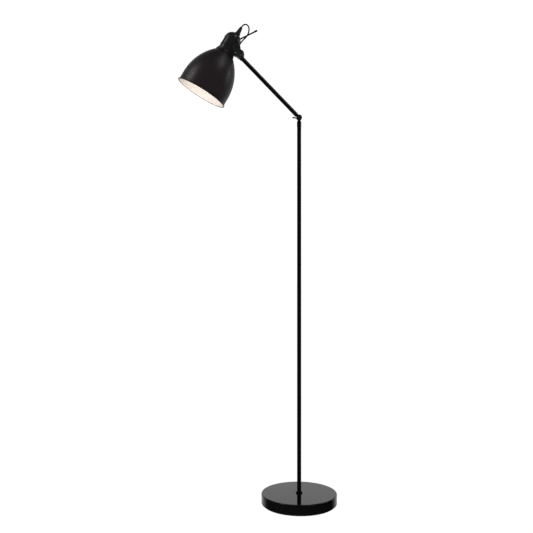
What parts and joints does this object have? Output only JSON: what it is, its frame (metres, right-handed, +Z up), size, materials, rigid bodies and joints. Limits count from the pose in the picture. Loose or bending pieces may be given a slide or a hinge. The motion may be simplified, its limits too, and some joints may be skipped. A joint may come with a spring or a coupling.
{
  "type": "adjustable arm floor lamp",
  "caption": "Reading floor lamp: round weighted base, slim pole, leaning arm on a locking elbow, tilting bell shade on a ribbed cap with a looped cable.",
  "frame": {"origin": "centre of the foam pad's underside, on the floor, under the pole", "axes": "+Z up along the pole; the arm and the head swing in the XZ plane with the head towards -X; -Y is the front"},
  "size_m": [0.4518, 0.2168, 1.368],
  "materials": {
    "base_lacquer": "gloss",
    "tube_lacquer": "satin",
    "shade_lacquer": "satin",
    "cap_lacquer": "satin",
    "cast_iron": "rough",
    "zinc_steel": "zinc plated",
    "black_steel": "black oxide",
    "foam": "matt closed-cell foam",
    "black_rubber": "matt",
    "black_plastic": "fine moulded",
    "white_insulator": "moulded",
    "brass": "bright",
    "lead_sheath": "smooth sheath",
    "core_blue": "smooth",
    "nylon": "natural nylon"
  },
  "bodies": {
    "stand": {"base_cover": "base_lacquer", "base_weight": "cast_iron", "base_plate": "zinc_steel", "plate_screws": "zinc_steel", "foot_pad": "foam", "inlet_grommet": "black_rubber", "base_stud": "zinc_steel", "stud_washer": "zinc_steel", "stud_nut": "zinc_steel", "foot_collar": "tube_lacquer", "pole_lower": "tube_lacquer", "pole_middle": "tube_lacquer", "pole_upper": "tube_lacquer", "pole_inserts": "zinc_steel", "pole_joiners": "zinc_steel", "pole_lead": "lead_sheath", "elbow_fork": "tube_lacquer", "elbow_bolt": "black_steel", "elbow_washers": "nylon"},
    "arm": {"arm_tongue": "tube_lacquer", "arm_tube": "tube_lacquer", "arm_lead": "lead_sheath", "head_yoke": "tube_lacquer", "yoke_grommet": "black_rubber"},
    "head": {"tilt_screws": "black_steel", "tilt_washers": "nylon", "cap_body": "cap_lacquer", "cap_lid": "cap_lacquer", "cable_gland": "black_plastic", "gland_nut": "zinc_steel", "tilt_handle": "black_steel", "shade": "shade_lacquer", "shade_ring": "white_insulator", "holder_body": "white_insulator", "screw_shell": "brass", "centre_contact": "brass", "terminals": "brass", "terminal_screws": "zinc_steel", "holder_lead": "lead_sheath", "holder_cores": "core_blue", "head_cable": "lead_sheath"},
    "lever": {"elbow_lever": "black_steel"}
  },
  "joints": [
    {"name": "elbow", "type": "hinge", "parent": "stand", "child": "arm", "pos_m": [0, 0, 1.1], "axis": [0, 1, 0], "range_deg": [-70, 50]},
    {"name": "head_tilt", "type": "hinge", "parent": "arm", "child": "head", "pos_m": [-0.17858, 0, 1.29148], "axis": [0, 1, 0], "range_deg": [-20, 55], "deforming": ["head_cable"]},
    {"name": "lever_turn", "type": "hinge", "parent": "stand", "child": "lever", "pos_m": [0, 0.011, 1.1], "axis": [0, 1, 0], "range_deg": [-90, 90]}
  ]
}
